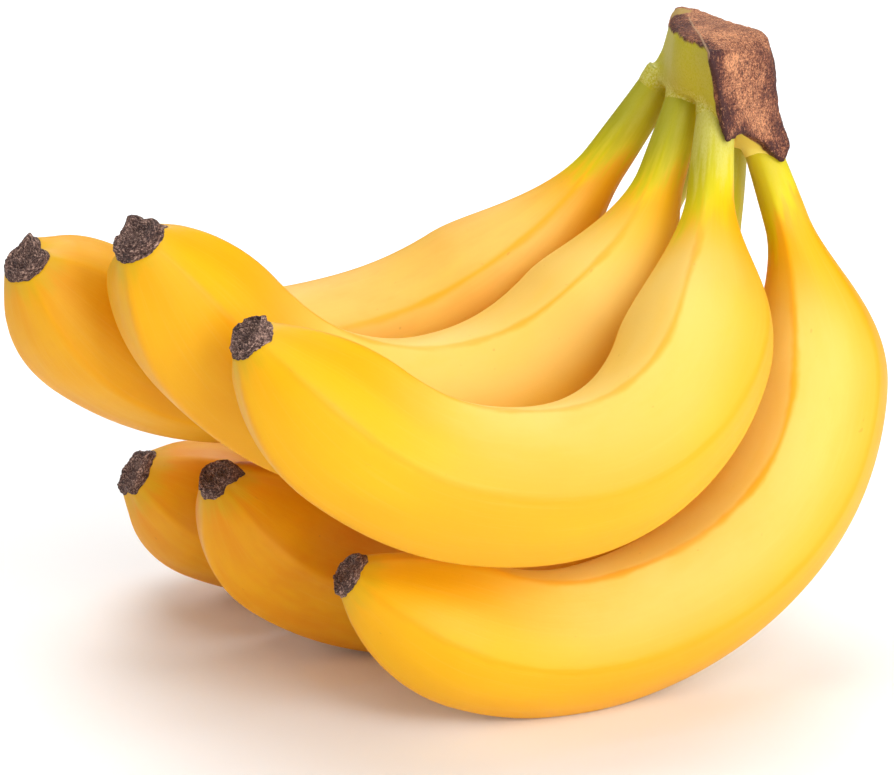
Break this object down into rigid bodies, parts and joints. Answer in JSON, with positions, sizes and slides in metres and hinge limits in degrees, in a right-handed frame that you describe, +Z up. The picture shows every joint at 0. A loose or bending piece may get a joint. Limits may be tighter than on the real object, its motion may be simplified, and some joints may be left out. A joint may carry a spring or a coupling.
{
  "type": "bunch of bananas",
  "caption": "Bunch of ripe bananas in two rows that fan out from one dried crown, lying on the bananas of its lower row.",
  "frame": {"origin": "middle of the bunch's bounding box, on the surface that it lies on", "axes": "+X from the flower ends towards the crown, +Y from the front bananas to the back ones, +Z up"},
  "size_m": [0.2095, 0.1448, 0.1531],
  "materials": {
    "peel": "smooth waxy ripe banana peel, satin, yellow-green at the stalks",
    "dried_stalk": "matt brown dried plant tissue, with fibres, flecks and a green flank on the crown"
  },
  "bodies": {
    "root": {"banana_upper_front": "peel", "banana_upper_middle": "peel", "banana_upper_back": "peel", "banana_lower_front": "peel", "banana_lower_middle": "peel", "banana_lower_back": "peel", "crown": "dried_stalk"}
  },
  "joints": []
}
